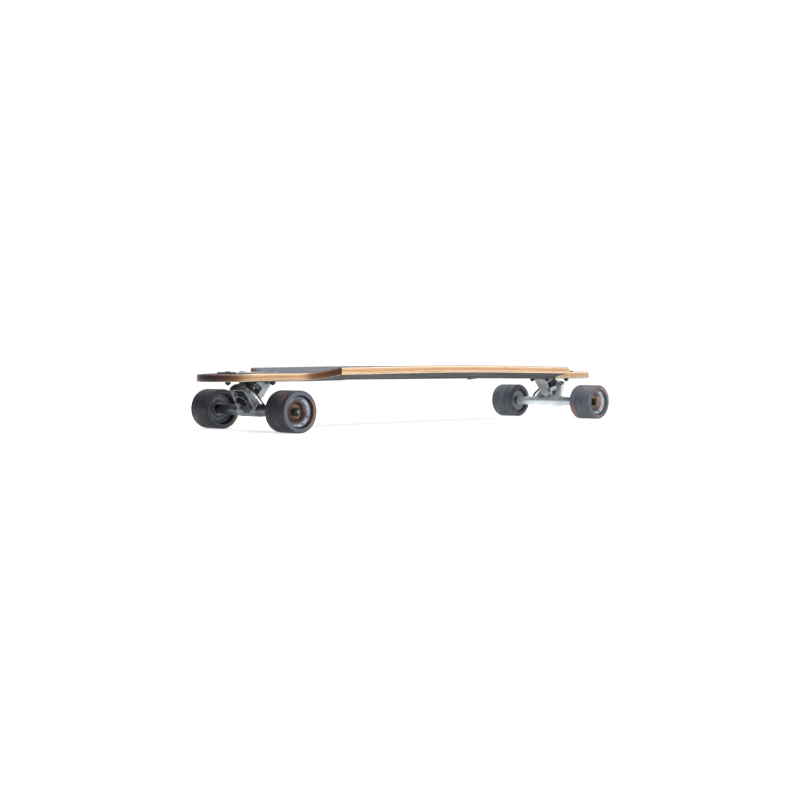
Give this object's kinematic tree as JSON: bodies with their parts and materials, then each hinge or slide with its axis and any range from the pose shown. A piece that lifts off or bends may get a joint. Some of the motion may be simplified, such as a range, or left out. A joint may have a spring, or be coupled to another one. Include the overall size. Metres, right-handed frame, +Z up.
{
  "type": "electric skateboard",
  "caption": "Electric longboard: cambered drop-through deck with sunk battery, reverse kingpin trucks that steer, hub-motor rear wheels and free front wheels.",
  "frame": {"origin": "on the ground under the middle of the deck, halfway between the axles", "axes": "+X towards the nose, +Y to the rider's left, +Z up"},
  "size_m": [0.976, 0.272, 0.111],
  "materials": {
    "wood": "satin lacquer",
    "grip": "abrasive grip sheet",
    "black_plastic": "matte",
    "rubber": "matte",
    "urethane": "satin urethane",
    "alloy": "cast, bead blasted",
    "steel": "zinc plated",
    "black_steel": "black oxide",
    "core": "satin",
    "bronze": "anodised bronze",
    "cell": "pouch foil",
    "copper": "copper",
    "pcb": "solder mask",
    "lens": "milky",
    "magnet": "nickel plated",
    "bushing": "urethane"
  },
  "bodies": {
    "deck": {"deck": "wood", "grip_tape": "grip", "battery_cover": "black_plastic", "cover_gasket": "rubber", "cover_screws": "black_steel", "battery_cells": "cell", "cell_busbars": "copper", "bms_board": "pcb", "controller": "alloy", "button_bezel": "steel", "status_lens": "lens", "charge_socket": "black_plastic", "cap_pin": "steel", "motor_cable": "rubber", "front_baseplate": "alloy", "front_mount_bolts": "black_steel", "front_mount_nuts": "black_steel", "front_kingpin": "steel", "front_kingpin_nut": "steel", "front_washers": "steel", "front_bushing_board": "bushing", "front_bushing_road": "bushing", "front_pivot_cup": "bushing", "rear_baseplate": "alloy", "rear_mount_bolts": "black_steel", "rear_mount_nuts": "black_steel", "rear_kingpin": "steel", "rear_kingpin_nut": "steel", "rear_washers": "steel", "rear_bushing_board": "bushing", "rear_bushing_road": "bushing", "rear_pivot_cup": "bushing"},
    "front_truck": {"front_hanger": "alloy", "front_axle": "steel", "front_axle_washers": "steel", "front_axle_nuts": "steel"},
    "rear_truck": {"rear_hanger": "alloy", "rear_axle": "steel", "rear_axle_washers": "steel", "rear_axle_nuts": "steel", "rear_left_stator": "copper", "rear_right_stator": "copper"},
    "front_left_wheel": {"front_left_tyre": "urethane", "front_left_core": "core", "front_left_bearings": "steel"},
    "front_right_wheel": {"front_right_tyre": "urethane", "front_right_core": "core", "front_right_bearings": "steel"},
    "rear_left_wheel": {"rear_left_tyre": "urethane", "rear_left_motor_can": "bronze", "rear_left_magnets": "magnet", "rear_left_bearings": "steel"},
    "rear_right_wheel": {"rear_right_tyre": "urethane", "rear_right_motor_can": "bronze", "rear_right_magnets": "magnet", "rear_right_bearings": "steel"},
    "power_button": {"power_button": "black_plastic"},
    "charge_cap": {"charge_cap": "rubber"}
  },
  "joints": [
    {"name": "front_steer", "type": "hinge", "parent": "deck", "child": "front_truck", "pos_m": [0.4045, 0, 0.068], "axis": [0.848, 0, 0.5299], "range_deg": [-16, 16], "stiffness_Nm_per_rad": 40, "deforming": ["front_bushing_board", "front_bushing_road"]},
    {"name": "rear_steer", "type": "hinge", "parent": "deck", "child": "rear_truck", "pos_m": [-0.4045, 0, 0.068], "axis": [-0.848, 0, 0.5299], "range_deg": [-16, 16], "stiffness_Nm_per_rad": 40, "deforming": ["rear_bushing_board", "rear_bushing_road", "motor_cable"]},
    {"name": "front_left_spin", "type": "hinge", "parent": "front_truck", "child": "front_left_wheel", "pos_m": [0.392, 0.11, 0.035], "axis": [0, 1, 0], "continuous": true},
    {"name": "front_right_spin", "type": "hinge", "parent": "front_truck", "child": "front_right_wheel", "pos_m": [0.392, -0.11, 0.035], "axis": [0, 1, 0], "continuous": true},
    {"name": "rear_left_spin", "type": "hinge", "parent": "rear_truck", "child": "rear_left_wheel", "pos_m": [-0.392, 0.11, 0.035], "axis": [0, 1, 0], "continuous": true},
    {"name": "rear_right_spin", "type": "hinge", "parent": "rear_truck", "child": "rear_right_wheel", "pos_m": [-0.392, -0.11, 0.035], "axis": [0, 1, 0], "continuous": true},
    {"name": "button_press", "type": "slide", "parent": "deck", "child": "power_button", "axis": [0, 0, 1], "range_m": [0, 0.0012], "stiffness_N_per_m": 900, "springref_m": -0.0005},
    {"name": "cap_hinge", "type": "hinge", "parent": "deck", "child": "charge_cap", "pos_m": [-0.19, -0.044, 0.0842], "axis": [-1, 0, 0], "range_deg": [0, 120]}
  ]
}
